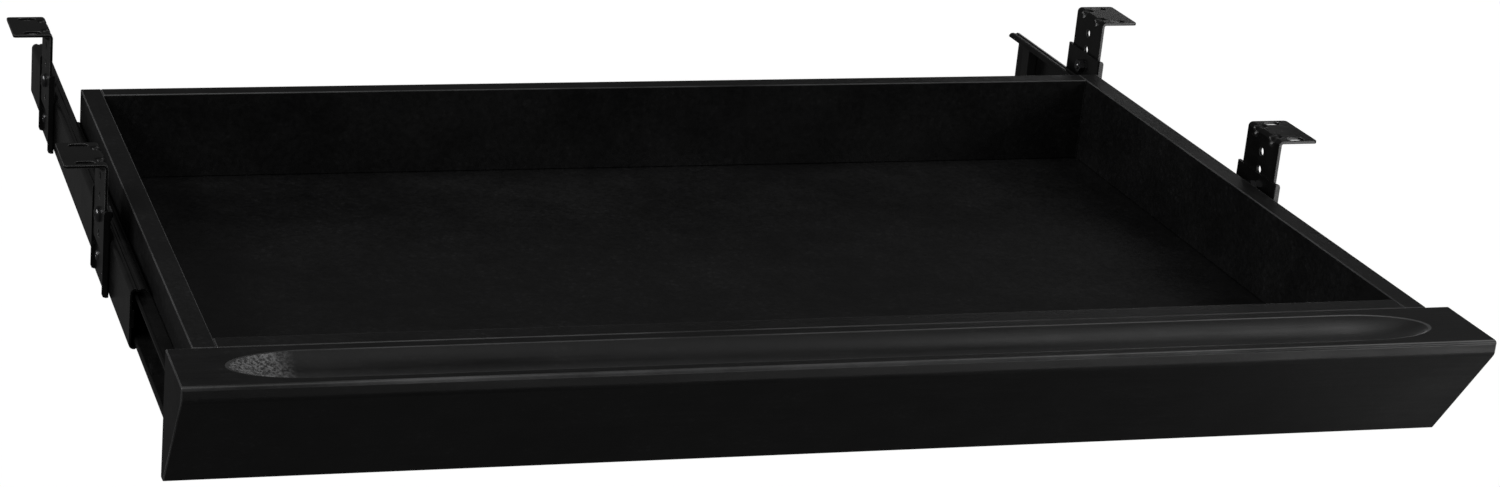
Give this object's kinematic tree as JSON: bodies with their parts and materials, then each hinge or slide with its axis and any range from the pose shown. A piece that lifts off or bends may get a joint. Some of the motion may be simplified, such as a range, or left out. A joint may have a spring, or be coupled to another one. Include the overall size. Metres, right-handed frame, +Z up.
{
  "type": "under-desk keyboard drawer",
  "caption": "Shallow black keyboard drawer with an angled front block and pencil groove, on ball-bearing slides that hang under a desk from adjustable L hangers.",
  "frame": {"origin": "centre of the hangers' slot pattern, on the plane of the desk's underside", "axes": "+X to the user's right along the front, -Y towards the user, +Z up"},
  "size_m": [0.7624, 0.622, 0.097],
  "materials": {
    "laminate_board": "black satin laminate on fibreboard",
    "bottom_board": "black satin faced hardboard",
    "slide_steel": "black semi-gloss coated steel",
    "bracket_steel": "black semi-gloss coated steel",
    "fastener_steel": "black oxide, semi-gloss",
    "cage_steel": "plain rolled steel",
    "ball_steel": "polished",
    "bumper_rubber": "matt black"
  },
  "bodies": {
    "mount_frame": {"left_outer_channel": "slide_steel", "right_outer_channel": "slide_steel", "left_bumper": "bumper_rubber", "right_bumper": "bumper_rubber", "front_left_bracket": "bracket_steel", "front_right_bracket": "bracket_steel", "rear_left_bracket": "bracket_steel", "rear_right_bracket": "bracket_steel", "front_left_hanger": "bracket_steel", "front_right_hanger": "bracket_steel", "rear_left_hanger": "bracket_steel", "rear_right_hanger": "bracket_steel", "hanger_bolts": "fastener_steel", "hanger_nuts": "fastener_steel", "bracket_rivets": "fastener_steel"},
    "drawer": {"front_block": "laminate_board", "front_rail": "laminate_board", "back_panel": "laminate_board", "left_side_panel": "laminate_board", "right_side_panel": "laminate_board", "bottom_panel": "bottom_board", "front_screws": "fastener_steel", "panel_screws": "fastener_steel", "left_inner_member": "slide_steel", "right_inner_member": "slide_steel", "left_slide_screws": "fastener_steel", "right_slide_screws": "fastener_steel"},
    "left_cage": {"left_ball_cage": "cage_steel", "left_balls": "ball_steel"},
    "right_cage": {"right_ball_cage": "cage_steel", "right_balls": "ball_steel"}
  },
  "joints": [
    {"name": "drawer_slide", "type": "slide", "parent": "mount_frame", "child": "drawer", "axis": [0, -1, 0], "range_m": [-0.117, 0.22]},
    {"name": "left_cage_slide", "type": "slide", "parent": "mount_frame", "child": "left_cage", "axis": [0, -1, 0], "range_m": [-0.0586, 0.1101]},
    {"name": "right_cage_slide", "type": "slide", "parent": "mount_frame", "child": "right_cage", "axis": [0, -1, 0], "range_m": [-0.0586, 0.1101]}
  ],
  "couplings": [
    {"joint": "left_cage_slide", "follows": "drawer_slide", "ratio": 0.5},
    {"joint": "right_cage_slide", "follows": "drawer_slide", "ratio": 0.5}
  ]
}
